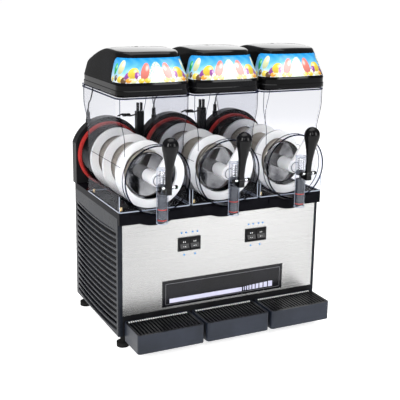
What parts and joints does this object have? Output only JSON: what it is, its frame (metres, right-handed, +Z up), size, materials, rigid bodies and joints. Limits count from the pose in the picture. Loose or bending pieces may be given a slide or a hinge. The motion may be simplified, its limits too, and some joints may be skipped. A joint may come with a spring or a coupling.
{
  "type": "slushie machine",
  "caption": "Countertop frozen-drink dispenser: clear bowls with augers over a louvred steel cabinet, glowing black lids, lever taps and drip trays.",
  "frame": {"origin": "on the floor, at the centre of the footprint", "axes": "+X to the user's right, +Y to the rear, +Z up"},
  "size_m": [0.6036, 0.4856, 0.774],
  "materials": {
    "black_steel": "satin black powder coat",
    "stainless": "brushed stainless sheet",
    "polished_stainless": "polished stainless",
    "black_plastic": "satin black moulding",
    "gloss_black": "high-gloss black moulding",
    "clear_polycarbonate": "clear moulding",
    "graphic_film": "backlit printed film",
    "white_plastic": "white food-grade moulding",
    "coral_seal": "coral silicone",
    "rubber": "black rubber",
    "machined_steel": "turned and ground steel",
    "copper": "drawn copper tube",
    "galvanised": "galvanised sheet",
    "fin_aluminium": "thin fin stock",
    "compressor_black": "gloss black enamel",
    "badge_black": "printed plate"
  },
  "bodies": {
    "root": {"chassis_base": "black_steel", "levelling_feet": "rubber", "front_panel": "stainless", "left_side_panel": "black_plastic", "right_side_panel": "black_plastic", "rear_panel": "black_steel", "top_deck": "black_plastic", "rear_bulkhead": "black_plastic", "badge_plate": "badge_black", "switch_housings": "black_plastic", "compressor": "compressor_black", "condenser": "fin_aluminium", "fan_shroud": "galvanised", "refrigerant_lines": "copper", "control_box": "galvanised", "mains_inlet": "black_plastic", "auger_gearmotors": "galvanised", "bowl_gaskets": "coral_seal", "lamp_sockets": "black_plastic", "evaporator_drum_left": "polished_stainless", "evaporator_drum_centre": "polished_stainless", "evaporator_drum_right": "polished_stainless"},
    "auger_left": {"auger_left": "white_plastic", "drive_shaft_left": "machined_steel"},
    "bowl_left": {"bowl_left": "clear_polycarbonate", "tap_pin_left": "machined_steel", "tap_spring_left": "machined_steel"},
    "lid_left": {"lid_left": "gloss_black", "lid_window_left": "graphic_film"},
    "lever_left": {"tap_lever_left": "gloss_black"},
    "piston_left": {"tap_piston_left": "black_plastic"},
    "tray_left": {"drip_tray_left": "black_plastic"},
    "grille_left": {"drip_grille_left": "black_plastic"},
    "auger_centre": {"auger_centre": "white_plastic", "drive_shaft_centre": "machined_steel"},
    "bowl_centre": {"bowl_centre": "clear_polycarbonate", "tap_pin_centre": "machined_steel", "tap_spring_centre": "machined_steel"},
    "lid_centre": {"lid_centre": "gloss_black", "lid_window_centre": "graphic_film"},
    "lever_centre": {"tap_lever_centre": "gloss_black"},
    "piston_centre": {"tap_piston_centre": "black_plastic"},
    "tray_centre": {"drip_tray_centre": "black_plastic"},
    "grille_centre": {"drip_grille_centre": "black_plastic"},
    "auger_right": {"auger_right": "white_plastic", "drive_shaft_right": "machined_steel"},
    "bowl_right": {"bowl_right": "clear_polycarbonate", "tap_pin_right": "machined_steel", "tap_spring_right": "machined_steel"},
    "lid_right": {"lid_right": "gloss_black", "lid_window_right": "graphic_film"},
    "lever_right": {"tap_lever_right": "gloss_black"},
    "piston_right": {"tap_piston_right": "black_plastic"},
    "tray_right": {"drip_tray_right": "black_plastic"},
    "grille_right": {"drip_grille_right": "black_plastic"},
    "fan": {"fan_rotor": "galvanised"},
    "rocker_left_1": {"rocker_left_1": "black_plastic"},
    "rocker_left_2": {"rocker_left_2": "black_plastic"},
    "rocker_right_1": {"rocker_right_1": "black_plastic"},
    "rocker_right_2": {"rocker_right_2": "black_plastic"}
  },
  "joints": [
    {"name": "auger_left_spin", "type": "hinge", "parent": "root", "child": "auger_left", "pos_m": [-0.2023, -0.0865, 0.451], "axis": [0, 1, 0], "continuous": true},
    {"name": "bowl_left_pull", "type": "slide", "parent": "root", "child": "bowl_left", "axis": [0, -1, 0], "range_m": [0, 0.36]},
    {"name": "lid_left_lift", "type": "slide", "parent": "bowl_left", "child": "lid_left", "axis": [0, 0, 1], "range_m": [0, 0.12]},
    {"name": "lever_left_pull", "type": "hinge", "parent": "bowl_left", "child": "lever_left", "pos_m": [-0.2023, -0.2155, 0.447], "axis": [1, 0, 0], "range_deg": [0, 35], "stiffness_Nm_per_rad": 0.6, "springref_deg": -22.92},
    {"name": "piston_left_lift", "type": "slide", "parent": "bowl_left", "child": "piston_left", "axis": [0, 0, 1], "range_m": [0, 0.0165], "deforming": ["tap_spring_left"]},
    {"name": "tray_left_pull", "type": "slide", "parent": "root", "child": "tray_left", "axis": [0, -1, 0], "range_m": [0, 0.13]},
    {"name": "grille_left_lift", "type": "slide", "parent": "tray_left", "child": "grille_left", "axis": [0, 0, 1], "range_m": [0, 0.08]},
    {"name": "auger_centre_spin", "type": "hinge", "parent": "root", "child": "auger_centre", "pos_m": [0, -0.0865, 0.451], "axis": [0, 1, 0], "continuous": true},
    {"name": "bowl_centre_pull", "type": "slide", "parent": "root", "child": "bowl_centre", "axis": [0, -1, 0], "range_m": [0, 0.36]},
    {"name": "lid_centre_lift", "type": "slide", "parent": "bowl_centre", "child": "lid_centre", "axis": [0, 0, 1], "range_m": [0, 0.12]},
    {"name": "lever_centre_pull", "type": "hinge", "parent": "bowl_centre", "child": "lever_centre", "pos_m": [0, -0.2155, 0.447], "axis": [1, 0, 0], "range_deg": [0, 35], "stiffness_Nm_per_rad": 0.6, "springref_deg": -22.92},
    {"name": "piston_centre_lift", "type": "slide", "parent": "bowl_centre", "child": "piston_centre", "axis": [0, 0, 1], "range_m": [0, 0.0165], "deforming": ["tap_spring_centre"]},
    {"name": "tray_centre_pull", "type": "slide", "parent": "root", "child": "tray_centre", "axis": [0, -1, 0], "range_m": [0, 0.13]},
    {"name": "grille_centre_lift", "type": "slide", "parent": "tray_centre", "child": "grille_centre", "axis": [0, 0, 1], "range_m": [0, 0.08]},
    {"name": "auger_right_spin", "type": "hinge", "parent": "root", "child": "auger_right", "pos_m": [0.2023, -0.0865, 0.451], "axis": [0, 1, 0], "continuous": true},
    {"name": "bowl_right_pull", "type": "slide", "parent": "root", "child": "bowl_right", "axis": [0, -1, 0], "range_m": [0, 0.36]},
    {"name": "lid_right_lift", "type": "slide", "parent": "bowl_right", "child": "lid_right", "axis": [0, 0, 1], "range_m": [0, 0.12]},
    {"name": "lever_right_pull", "type": "hinge", "parent": "bowl_right", "child": "lever_right", "pos_m": [0.2023, -0.2155, 0.447], "axis": [1, 0, 0], "range_deg": [0, 35], "stiffness_Nm_per_rad": 0.6, "springref_deg": -22.92},
    {"name": "piston_right_lift", "type": "slide", "parent": "bowl_right", "child": "piston_right", "axis": [0, 0, 1], "range_m": [0, 0.0165], "deforming": ["tap_spring_right"]},
    {"name": "tray_right_pull", "type": "slide", "parent": "root", "child": "tray_right", "axis": [0, -1, 0], "range_m": [0, 0.13]},
    {"name": "grille_right_lift", "type": "slide", "parent": "tray_right", "child": "grille_right", "axis": [0, 0, 1], "range_m": [0, 0.08]},
    {"name": "fan_spin", "type": "hinge", "parent": "root", "child": "fan", "pos_m": [-0.225, 0.0455, 0.182], "axis": [1, 0, 0], "continuous": true},
    {"name": "rocker_left_1_tilt", "type": "hinge", "parent": "root", "child": "rocker_left_1", "pos_m": [-0.1157, -0.121, 0.265], "axis": [1, 0, 0], "range_deg": [0, 16]},
    {"name": "rocker_left_2_tilt", "type": "hinge", "parent": "root", "child": "rocker_left_2", "pos_m": [-0.0857, -0.121, 0.265], "axis": [1, 0, 0], "range_deg": [0, 16]},
    {"name": "rocker_right_1_tilt", "type": "hinge", "parent": "root", "child": "rocker_right_1", "pos_m": [0.0857, -0.121, 0.265], "axis": [1, 0, 0], "range_deg": [0, 16]},
    {"name": "rocker_right_2_tilt", "type": "hinge", "parent": "root", "child": "rocker_right_2", "pos_m": [0.1157, -0.121, 0.265], "axis": [1, 0, 0], "range_deg": [0, 16]}
  ],
  "couplings": [
    {"joint": "piston_left_lift", "follows": "lever_left_pull", "m_per_rad": 0.027009},
    {"joint": "piston_centre_lift", "follows": "lever_centre_pull", "m_per_rad": 0.027009},
    {"joint": "piston_right_lift", "follows": "lever_right_pull", "m_per_rad": 0.027009}
  ]
}
